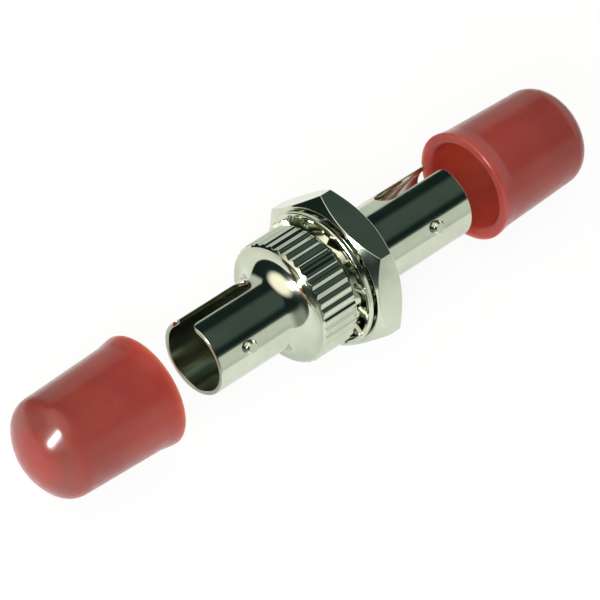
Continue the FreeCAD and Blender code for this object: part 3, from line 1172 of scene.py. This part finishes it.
@dataclass
class FerruleGuide(Assembly):
    """The sleeve holder, its retainer and the split sleeve inside them."""

    front: float
    rear: float
    flange: tuple[float, float] = (0.3, 1.3)
    flange_radius: float = 3.5
    holder_radius: float = 2.25
    bore: float = 1.75
    lip: float = 1.45
    lip_thickness: float = 0.4
    retainer_gap: float = 0.01
    mouth_round: float = 0.08
    rim_round: float = 0.06
    lip_round: float = 0.05
    seat_round: float = 0.04
    root_round: float = 0.03

    def build(self, nickel: Material) -> None:
        """Turn the holder and the retainer in bright nickel.

        Args:
            nickel: The plating.
        """
        start, end = self.flange
        floor = self.front + self.lip_thickness
        holder = rounded(
            (self.front, self.lip, self.mouth_round),
            (self.front, self.holder_radius, self.rim_round),
            (start, self.holder_radius, self.root_round),
            (start, self.flange_radius, self.rim_round),
            (end, self.flange_radius, self.rim_round),
            (end, self.holder_radius, self.root_round),
            (self.rear, self.holder_radius, self.rim_round),
            (self.rear, self.bore, self.lip_round),
            (floor, self.bore, self.seat_round),
            (floor, self.lip, self.lip_round),
        )
        self.add("ferrule_guide", turned(holder), nickel)
        inside, outside = self.rear - self.lip_thickness, self.bore - self.retainer_gap
        ring = rounded(
            (inside, self.lip, self.rim_round),
            (inside, outside, self.seat_round),
            (self.rear, outside, self.seat_round),
            (self.rear, self.lip, self.mouth_round),
        )
        self.add("retaining_ring", turned(ring), nickel)

    def dress(self, sleeve: Object, bronze: Material) -> None:
        """Hang the pieces on the adapter's body, and give the split sleeve its bronze.

        Args:
            sleeve: The sleeve's node in the frame.
            bronze: Its finish.
        """
        self.hang("ferrule_guide", "adapter", Slot.NICKEL, "sleeve_holder")
        self.hang("retaining_ring", "adapter", Slot.NICKEL, "sleeve_retainer")
        sleeve.data.materials.clear()
        sleeve.data.materials.append(bronze)


def rounded_bar(half_wide: float, half_thick: float, edge: float, length: float) -> Skin:
    """Build a bar along +Z with rounded edges; its tip is at zero.

    Args:
        half_wide: Half of its size along Y.
        half_thick: Half of its size along X.
        edge: Rounding of the edges at its ends; its long edges are a little rounder.
        length: Length of the bar.

    Returns:
        The skin.
    """
    long_edge, stops = 1.2 * edge, 5
    bends = np.linspace(0.0, math.pi / 2, stops)
    near = [(edge * (1.0 - math.cos(bend)), edge * (1.0 - math.sin(bend)), bend) for bend in bends]
    far = [(length - height, inset, math.pi - bend) for height, inset, bend in reversed(near)]
    around = np.concatenate([bends + quadrant * math.pi / 2 for quadrant in range(4)])
    corners = np.repeat(np.array(((1, 1), (-1, 1), (-1, -1), (1, -1))), len(bends), axis=0)
    ways = np.stack((np.cos(around), np.sin(around)), axis=1)
    points, normals = [], []
    for height, inset, bend in (*near, *far):
        corner = long_edge - inset
        core = np.array((half_thick - inset - corner, half_wide - inset - corner))
        level = np.full((len(around), 1), height)
        rise = np.full((len(around), 1), -math.cos(bend))
        points.append(np.hstack((corners * core + ways * corner, level)))
        normals.append(np.hstack((ways * math.sin(bend), rise)))
    indices = np.arange(len(points) * len(around)).reshape(len(points), len(around))
    ends = [tuple(int(index) for index in loop) for loop in (indices[0], indices[-1][::-1])]
    sides = outward(np.vstack(points), np.vstack(normals), grid_faces(indices, False, True))
    lids = [outward(sides.points, sides.normals, [end]).faces[0] for end in ends]
    return Skin(sides.points, sides.normals, sides.faces + lids)


@dataclass
class PanelFastening(Assembly):
    """The internal-tooth lock washer and the hexagon nut on the neck."""

    washer_middle: float
    nut_front: float
    rim_inner: float = 5.8925
    rim_outer: float = 6.3425
    rim_half: float = 0.25
    rim_inner_round: float = 0.08
    rim_outer_round: float = 0.12
    tooth_count: int = 14
    tooth_tip: float = 4.8625
    tooth_length: float = 1.28
    tooth_half: float = 0.65
    tooth_edge: float = 0.1
    tooth_twist: float = math.radians(22.0)
    nut_half: float = 6.7
    nut_thickness: float = 2.85
    face_inset: float = 0.15
    chamfer_angle: float = math.radians(35.0)
    edge_round: float = 0.08
    corner_round: float = 0.12
    bore: float = 4.8125
    bore_chamfer: float = 0.3
    bore_round: float = 0.05
    flat_points: int = 29
    corner_points: int = 9

    def hexagon(self, angle: float) -> float:
        """Return the nut's reach at an angle round the axis, with its corners just broken.

        Args:
            angle: Angle from +Z, where a flat has its middle.

        Returns:
            Distance from the axis to the flat or the corner.
        """
        half, sixth = self.nut_half, math.pi / 6
        off = abs((angle + sixth) % (2 * sixth) - sixth)
        inner = half - self.corner_round
        if math.tan(off) <= inner * math.tan(sixth) / half:
            return half / math.cos(off)
        centre, lean = inner / math.cos(sixth), sixth - off
        return centre * math.cos(lean) + math.sqrt(self.corner_round**2 - (centre * math.sin(lean)) ** 2)

    def nut_outline(self, reach: float) -> np.ndarray:
        """Give the nut's section where its flats or corners reach this far.

        Args:
            reach: Distance from the axis to the outside.

        Returns:
            Rows of x, radius and normal, as a loop.
        """
        front, rear = self.nut_front, self.nut_front + self.nut_thickness
        face = self.nut_half - self.face_inset
        drop = (reach - face) * math.tan(self.chamfer_angle)
        wide = self.bore + self.bore_chamfer
        return rounded(
            (front, face, self.edge_round),
            (front + drop, reach, self.edge_round),
            (rear - drop, reach, self.edge_round),
            (rear, face, self.edge_round),
            (rear, wide, self.bore_round),
            (rear - self.bore_chamfer, self.bore, self.bore_round),
            (front + self.bore_chamfer, self.bore, self.bore_round),
            (front, wide, self.bore_round),
        )

    def washer(self, steel: Material) -> None:
        """Build the washer's rim and its ring of twisted teeth.

        Args:
            steel: The plated steel.
        """
        low, high = self.washer_middle - self.rim_half, self.washer_middle + self.rim_half
        rim = rounded(
            (low, self.rim_inner, self.rim_inner_round),
            (low, self.rim_outer, self.rim_outer_round),
            (high, self.rim_outer, self.rim_outer_round),
            (high, self.rim_inner, self.rim_inner_round),
        )
        tooth = rounded_bar(self.tooth_half, self.rim_half, self.tooth_edge, self.tooth_length)
        place = Matrix.Translation((self.washer_middle, 0.0, self.tooth_tip))
        tooth = tooth.moved(place @ Matrix.Rotation(self.tooth_twist, 4, "Z"))
        values = {"Count": self.tooth_count, "Weld": 0.0, "Material": steel}
        self.add("lock_washer_rim", turned(rim), steel)
        self.add("lock_washer_teeth", grown(as_mesh(tooth, "tooth"), round_the_axis_tree(), values), steel)

    def nut(self, nickel: Material) -> None:
        """Build the nut, with more points where its corners are broken.

        Args:
            nickel: The plating.
        """
        sixth, nudge = TURN / 6, 1e-5
        edge = math.atan((self.nut_half - self.corner_round) * math.tan(sixth / 2) / self.nut_half)
        flat = np.linspace(-edge, edge, self.flat_points)
        corner = np.linspace(edge, sixth - edge, self.corner_points)[1:-1]
        angles = np.concatenate([np.concatenate((flat, corner)) + sixth * side for side in range(6)])
        before, reaches, after = (
            np.array([self.hexagon(angle + shift) for angle in angles]) for shift in (-nudge, 0.0, nudge)
        )
        skin = wrapped(self.nut_outline, angles, reaches, (after - before) / (2 * nudge))
        self.add("panel_nut", skin, nickel)

    def build(self, nickel: Material, steel: Material) -> None:
        """Build the toothed washer in plated steel and the nut in bright nickel."""
        self.washer(steel)
        self.nut(nickel)

    def dress(self) -> None:
        """Hang the washer and the nut on their own bodies."""
        self.hang("lock_washer_rim", "washer", Slot.STEEL, "lock_washer")
        self.hang("lock_washer_teeth", "washer", Slot.STEEL, "lock_washer")
        self.hang("panel_nut", "nut", Slot.NICKEL, "hex_nut")


@dataclass
class DustCap(Assembly):
    """A soft dust cap; places count from its mouth towards its domed end."""

    end: End
    mouth: float
    bore: float = 4.08
    wall: float = 0.9
    straight: float = 9.8
    dome: float = 3.0
    shoulder: float = 2.0
    taper: float = 0.3
    end_wall: float = 1.1
    floor_round: float = 1.6
    mouth_round: float = 0.6
    lip_flare: float = 0.22
    lip_round: float = 0.25
    rim_length: float = 0.35
    rim_share: float = 0.85
    rim_round: float = 0.6
    lip_length: float = 1.6
    waist: float = 0.02
    waist_round: float = 2.4

    def outline(self) -> np.ndarray:
        """Give the cap's section from the inside of its end, round the lip, to the outside of its end.

        Returns:
            Rows of place, radius and normal.
        """
        side = self.bore + self.wall
        end = side - self.taper
        reach = end - self.shoulder
        crown = (self.dome**2 + reach**2 - self.shoulder**2) / (2 * (self.dome - self.shoulder))
        tip = self.straight + self.dome
        centre = tip - crown
        lean = math.degrees(math.atan2(reach, self.straight - centre))
        floor = tip - self.end_wall
        short, proud = 0.2, 0.005
        inside = rounded(
            (floor, 0.0, 0.0),
            (floor, self.bore, self.floor_round),
            (0.0, self.bore, self.mouth_round),
            (0.0, side + self.lip_flare, self.lip_round),
            (self.rim_length, side + self.lip_flare * self.rim_share, self.rim_round),
            (self.lip_length, side - self.waist, self.waist_round),
            # Only gives the side its slope, and is dropped again
            (self.straight - short, end + proud, 0.0),
            closed=False,
            steps=8,
        )[:-1]
        shoulder = arc_rows((self.straight, reach), self.shoulder, 90.0, lean)
        top = arc_rows((centre, 0.0), crown, lean, 0.0)
        return np.vstack((inside, shoulder, top[1:]))

    def build(self, vinyl: Material) -> None:
        """Mould the cap in soft vinyl, with its domed end away from the adapter.

        Args:
            vinyl: The red vinyl.
        """
        skin = turned(self.outline(), closed=False)
        if self.end is End.FRONT:
            skin = skin.moved(Matrix.Rotation(math.pi, 4, "Z"))
        skin = skin.moved(Matrix.Translation((self.mouth, 0.0, 0.0)))
        self.add(f"{self.end.name.lower()}_cap_shell", skin, vinyl)

    def dress(self) -> None:
        """Hang the cap on its own body in place of its solid."""
        end = self.end.name.lower()
        self.hang(f"{end}_cap_shell", f"{end}_cap", Slot.VINYL, f"{end}_dust_cap")


# Studio


@dataclass(frozen=True)
class Edge:
    """A soft edge of a card: light fades in as a direction's share along this way grows."""

    way: Way
    dark: float
    lit: float


@dataclass(frozen=True)
class Card:
    """A bright patch of the surround, held in by soft edges."""

    edges: tuple[Edge, ...]
    tone: str
    strength: float = 1.0


@dataclass(frozen=True)
class Lamp:
    """A lamp that is turned to the object; way points to it, and its face and distance are metres."""

    name: str
    way: Way
    face: tuple[float, float]
    power: float
    lights: bool = True
    mirrored: bool = True
    distance: float = 0.5

    def stand(self) -> None:
        """Stand the lamp in its place."""
        light = bpy.data.lights.new(self.name, "AREA")
        light.shape = "RECTANGLE"
        light.size, light.size_y = self.face
        light.energy = self.power
        lamp = put(self.name, light)
        lamp.location = Vector(self.way) * self.distance
        lamp.rotation_euler = (-lamp.location).to_track_quat("-Z", "Y").to_euler()
        lamp.visible_diffuse = self.lights
        lamp.visible_glossy = self.mirrored


# Directions that the edges of the cards are measured along
REARWARD: Way = (1.0, 0.0, 0.0)
UPWARD: Way = (0.0, 0.0, 1.0)
NEAR_AND_DOWN: Way = (0.0, -0.643, -0.766)
FAR_AND_DOWN: Way = (0.0, 0.2, -0.98)
CEILING: Way = (0.498, -0.044, 0.866)
OVER_THE_FRONT: Way = (-0.4155, 0.374, 0.829)

WHITE = "#ffffff"


@dataclass
class Studio:
    """White paper, a dark room with soft cards in it, three lamps and the camera of the photograph."""

    floor_height: float
    camera_place: Way = (-210.160, -110.752, 312.937)
    camera_right: Way = (0.714010, -0.656049, 0.244517)
    camera_up: Way = (0.455425, 0.700463, 0.549490)
    lens: float = 276.0
    sensor: float = 36.0
    clip: tuple[float, float] = (0.01, 20.0)
    paper_ends: tuple[tuple[float, float], tuple[float, float]] = ((-60.0, -60.0), (80.0, 25.0))
    seen_glow: float = 0.9
    mirrored_glow: float = 0.3
    room_tone: str = "#1b2927"
    cards: tuple[Card, ...] = (
        # Dim near wall, which ends short of the front
        Card((Edge(NEAR_AND_DOWN, -0.06, 0.28), Edge(REARWARD, -1.0, -0.7)), "#a0a69e"),
        # Its bright rear part
        Card((Edge(NEAR_AND_DOWN, 0.045, 0.125), Edge(REARWARD, -0.2, 0.5)), "#eaece4"),
        # Dim glow of the ceiling
        Card((Edge(CEILING, 0.86, 0.96),), "#4c5a54"),
        # Pale far wall
        Card((Edge(FAR_AND_DOWN, -0.26, -0.2), Edge(REARWARD, 0.15, 0.45)), "#dfe3db"),
        # Bright rear strip, which only edges and domes that face the rear mirror
        Card((Edge(REARWARD, 0.68, 0.8), Edge(UPWARD, 0.1, 0.3)), WHITE, 1.4),
        # Large soft reflector overhead, behind the front end
        Card((Edge(OVER_THE_FRONT, 0.72, 0.94),), "#fff4e2", 1.7),
    )
    lamps: tuple[Lamp, ...] = (
        # Shade the caps softly, and stay out of the metal's reflections
        Lamp("key_lamp", (-0.6, -0.34, 0.724), (0.2, 0.2), 1.5, mirrored=False),
        Lamp("fill_lamp", (-0.93, -0.2, 0.3), (0.2, 0.2), 1.3, mirrored=False),
        # Gives the highlights on the front dome and on the collar's edge
        Lamp("small_lamp", (-0.947, 0.083, 0.309), (0.055, 0.34), 7.5, lights=False),
    )

    def paper(self) -> Material:
        """Make paper that is white to the eye, dimmer in the metal, and keeps the object's shadow.

        Returns:
            The material.
        """
        material, tree = start_material("matt_white_paper")
        path = add_node(tree, "ShaderNodeLightPath").outputs
        rays = {0: path["Is Glossy Ray"], 1: path["Is Transmission Ray"]}
        mirrored = add_node(tree, "ShaderNodeMath", rays, operation="MAXIMUM")
        dimmed = add_node(tree, "ShaderNodeMath", {0: mirrored, 1: self.mirrored_glow}, operation="MULTIPLY")
        shares = {0: path["Is Camera Ray"], 1: self.seen_glow, 2: dimmed}
        share = add_node(tree, "ShaderNodeMath", shares, operation="MULTIPLY_ADD")
        matt = add_node(tree, "ShaderNodeBsdfDiffuse", {"Color": linear(WHITE)})
        glow = add_node(tree, "ShaderNodeEmission", {"Color": linear(WHITE), "Strength": 1.0})
        mixed = add_node(tree, "ShaderNodeMixShader", {0: share, 1: matt, 2: glow})
        add_node(tree, "ShaderNodeOutputMaterial", {"Surface": mixed})
        return material

    def floor(self) -> None:
        """Lay the paper under the object."""
        (left, near), (right, far) = self.paper_ends
        ends = ((left, near), (right, near), (right, far), (left, far))
        corners = [(x * MM, y * MM, self.floor_height * MM) for x, y in ends]
        mesh = bpy.data.meshes.new("studio_floor")
        mesh.from_pydata(corners, [], [(0, 1, 2, 3)])
        mesh.materials.append(self.paper())
        put("studio_floor", mesh)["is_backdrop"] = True

    def surround(self) -> None:
        """Light the room with its cards; where the camera looks past the paper it is white."""
        world = bpy.data.worlds.new("studio_surround")
        bpy.context.scene.world = world
        world.use_nodes = True
        tree = world.node_tree
        tree.nodes.clear()
        way = add_node(tree, "ShaderNodeTexCoord").outputs["Generated"]
        room = add_node(tree, "ShaderNodeBackground", {"Color": linear(self.room_tone)})
        for card in self.cards:
            share: Any = 1.0
            for edge in card.edges:
                lean = add_node(tree, "ShaderNodeVectorMath", {0: way, 1: edge.way}, operation="DOT_PRODUCT")
                fade = {0: lean.outputs["Value"], 1: edge.dark, 2: edge.lit, 4: share}
                share = add_node(tree, "ShaderNodeMapRange", fade, interpolation_type="SMOOTHSTEP")
            light = {"Color": linear(card.tone), "Strength": card.strength}
            lit = add_node(tree, "ShaderNodeBackground", light)
            room = add_node(tree, "ShaderNodeMixShader", {0: share, 1: room, 2: lit})
        white = add_node(tree, "ShaderNodeBackground", {"Color": linear(WHITE)})
        seen = add_node(tree, "ShaderNodeLightPath").outputs["Is Camera Ray"]
        mixed = add_node(tree, "ShaderNodeMixShader", {0: seen, 1: room, 2: white})
        add_node(tree, "ShaderNodeOutputWorld", {"Surface": mixed})

    def camera(self) -> None:
        """Set the camera where the photograph was taken from."""
        right, up = Vector(self.camera_right), Vector(self.camera_up)
        turn = Matrix((right, up, right.cross(up))).transposed().to_4x4()
        data = bpy.data.cameras.new("camera")
        data.sensor_width = self.sensor
        data.lens = self.lens
        data.clip_start, data.clip_end = self.clip
        camera = put("camera", data)
        camera.matrix_world = Matrix.Translation(Vector(self.camera_place) * MM) @ turn
        bpy.context.scene.camera = camera

    def build(self) -> None:
        """Set up the whole studio."""
        self.floor()
        self.surround()
        for lamp in self.lamps:
            lamp.stand()
        self.camera()
        bpy.context.scene.view_settings.view_transform = "Standard"


def span(node: str) -> tuple[float, float]:
    """Return the two ends of a node along X, in millimetres."""
    low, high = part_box(node)
    return low.x / MM, high.x / MM


def main() -> None:
    """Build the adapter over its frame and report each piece."""
    logging.basicConfig(level=logging.INFO, format="%(name)s: %(message)s")
    for leftover in list(bpy.data.objects):
        bpy.data.objects.remove(leftover)
    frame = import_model()
    cad_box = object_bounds()
    nickel, steel = NICKEL.material(), SPRING_STEEL.material()
    bronze, vinyl = BRONZE.material(), RED_VINYL.material()

    body = AdapterBody(mouth=span("adapter_body")[0])
    body.build(nickel)
    body.dress()
    rear = RearSocket(mouth=span("rear_barrel")[1])
    rear.build(nickel)
    rear.dress()
    guide = FerruleGuide(*span("sleeve_holder"))
    guide.build(nickel)
    guide.dress(frame["nodes"]["alignment_sleeve"], bronze)
    fastening = PanelFastening(sum(span("lock_washer")) / 2, nut_front=span("hex_nut")[0])
    fastening.build(nickel, steel)
    fastening.dress()
    caps = (
        DustCap(End.FRONT, mouth=span("front_dust_cap")[1]),
        DustCap(End.REAR, mouth=span("rear_dust_cap")[0]),
    )
    for cap in caps:
        cap.build(vinyl)
        cap.dress()
    for assembly in (body, rear, guide, fastening, *caps):
        for name, piece in assembly.pieces.items():
            LOG.info("%s: %d faces", name, len(piece.data.polygons))

    Studio(floor_height=cad_box[0].z / MM).build()


if __name__ == "__main__":
    main()
